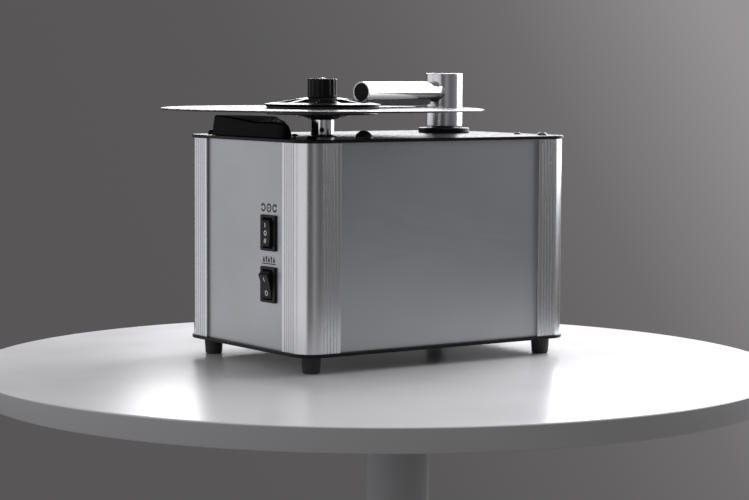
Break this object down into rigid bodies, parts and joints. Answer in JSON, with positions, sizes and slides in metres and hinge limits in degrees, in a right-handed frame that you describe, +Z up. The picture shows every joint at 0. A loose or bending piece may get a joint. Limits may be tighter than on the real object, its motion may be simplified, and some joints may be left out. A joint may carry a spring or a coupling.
{
  "type": "record cleaning machine",
  "caption": "Metal box on feet with grooved corner profiles, a turning spindle with record and clamp, a sprung vacuum arm on a post, an exhaust hood and rocker switches.",
  "frame": {"origin": "on the floor, at the middle of the rectangle of the four feet", "axes": "+Z up; the switch panel faces -Y; the blank long side seen in the picture faces +X; the vacuum arm's post is towards +Y"},
  "size_m": [0.3016, 0.4021, 0.271],
  "materials": {
    "black_plate": "satin black coating",
    "profile_metal": "brushed, silver anodised",
    "panel_metal": "fine brushed, grey anodised",
    "foot_rubber": "matte black",
    "screw_steel": "turned steel",
    "dark_screws": "black oxide",
    "gloss_black": "glossy black",
    "switch_black": "semi-gloss black",
    "motor_metal": "dark grey enamel",
    "cast_alloy": "die cast",
    "sheet_steel": "zinc plated",
    "bright_chrome": "polished",
    "black_platter": "satin black",
    "mat_rubber": "matte black",
    "record_vinyl": "grooved, glossy black, with a paper label",
    "clamp_plastic": "satin black",
    "bearing_brass": "machined",
    "dark_stem": "black anodised",
    "arm_aluminium": "turned and brushed",
    "velvet": "short black velvet pile",
    "hood_plastic": "moulded black",
    "box_plastic": "moulded dark grey",
    "tank_plastic": "milky white",
    "hose_rubber": "ribbed black",
    "cap_red": "moulded red",
    "wire_sleeve": "insulation"
  },
  "bodies": {
    "chassis": {"top_plate": "black_plate", "bottom_plate": "black_plate", "corner_profile_front_right": "profile_metal", "corner_profile_front_left": "profile_metal", "corner_profile_rear_left": "profile_metal", "corner_profile_rear_right": "profile_metal", "switch_panel": "panel_metal", "right_panel": "panel_metal", "left_panel": "panel_metal", "rear_panel": "panel_metal", "foot_front_right": "foot_rubber", "foot_front_left": "foot_rubber", "foot_rear_left": "foot_rubber", "foot_rear_right": "foot_rubber", "foot_screws": "screw_steel", "plate_screws": "dark_screws", "access_plug": "gloss_black", "motor_switch_housing": "switch_black", "vacuum_switch_housing": "switch_black", "spindle_motor": "motor_metal", "motor_gearbox": "cast_alloy", "motor_bracket": "sheet_steel", "spindle_bush": "switch_black", "arm_flange": "black_plate", "stem_bush": "bearing_brass", "exhaust_hood": "hood_plastic", "exhaust_duct": "hood_plastic", "motor_box": "box_plastic", "vacuum_motor": "motor_metal", "fan_cover": "sheet_steel", "waste_tank": "tank_plastic", "tank_lid": "box_plastic", "tank_hanger": "sheet_steel", "suction_hose": "hose_rubber", "power_inlet": "switch_black", "drain_spout": "box_plastic", "wiring": "wire_sleeve"},
    "platter": {"motor_shaft": "screw_steel", "spindle_hub": "bright_chrome", "hub_grub_screw": "dark_screws", "spindle_pin": "screw_steel", "platter_disc": "black_platter", "platter_mat": "mat_rubber", "record": "record_vinyl"},
    "clamp": {"clamp_seal": "mat_rubber", "clamp_disc": "clamp_plastic", "clamp_knob": "clamp_plastic"},
    "arm_spring": {"lift_spring": "sheet_steel"},
    "arm": {"arm_stem": "dark_stem", "arm_post": "arm_aluminium", "post_cap": "arm_aluminium", "arm_tube": "bright_chrome", "arm_collar": "arm_aluminium", "arm_end_cap": "clamp_plastic", "velvet_pads": "velvet"},
    "motor_rocker": {"motor_rocker": "switch_black"},
    "vacuum_rocker": {"vacuum_rocker": "switch_black"},
    "fan": {"fan_impeller": "cast_alloy"},
    "drain_cap": {"drain_cap": "cap_red"}
  },
  "joints": [
    {"name": "spindle_spin", "type": "hinge", "parent": "chassis", "child": "platter", "pos_m": [0.028, -0.084, 0.228], "axis": [0, 0, 1], "continuous": true},
    {"name": "clamp_lift", "type": "slide", "parent": "platter", "child": "clamp", "axis": [0, 0, 1], "range_m": [0, 0.045]},
    {"name": "arm_swing", "type": "hinge", "parent": "chassis", "child": "arm_spring", "pos_m": [-0.028, 0.1, 0.2], "axis": [0, 0, 1], "range_deg": [-10, 80]},
    {"name": "arm_lift", "type": "slide", "parent": "arm_spring", "child": "arm", "axis": [0, 0, 1], "range_m": [-0.001, 0], "stiffness_N_per_m": 1500, "springref_m": 0.004, "deforming": ["lift_spring"]},
    {"name": "motor_rocker_tilt", "type": "hinge", "parent": "chassis", "child": "motor_rocker", "pos_m": [0.041, -0.1485, 0.1255], "axis": [1, 0, 0], "range_deg": [-12, 12]},
    {"name": "vacuum_rocker_tilt", "type": "hinge", "parent": "chassis", "child": "vacuum_rocker", "pos_m": [0.041, -0.1485, 0.078], "axis": [1, 0, 0], "range_deg": [-24, 0]},
    {"name": "fan_spin", "type": "hinge", "parent": "chassis", "child": "fan", "pos_m": [-0.026, -0.075, 0.085], "axis": [0, 0, 1], "continuous": true},
    {"name": "drain_cap_pull", "type": "slide", "parent": "chassis", "child": "drain_cap", "axis": [0, 1, 0], "range_m": [0, 0.02]}
  ]
}
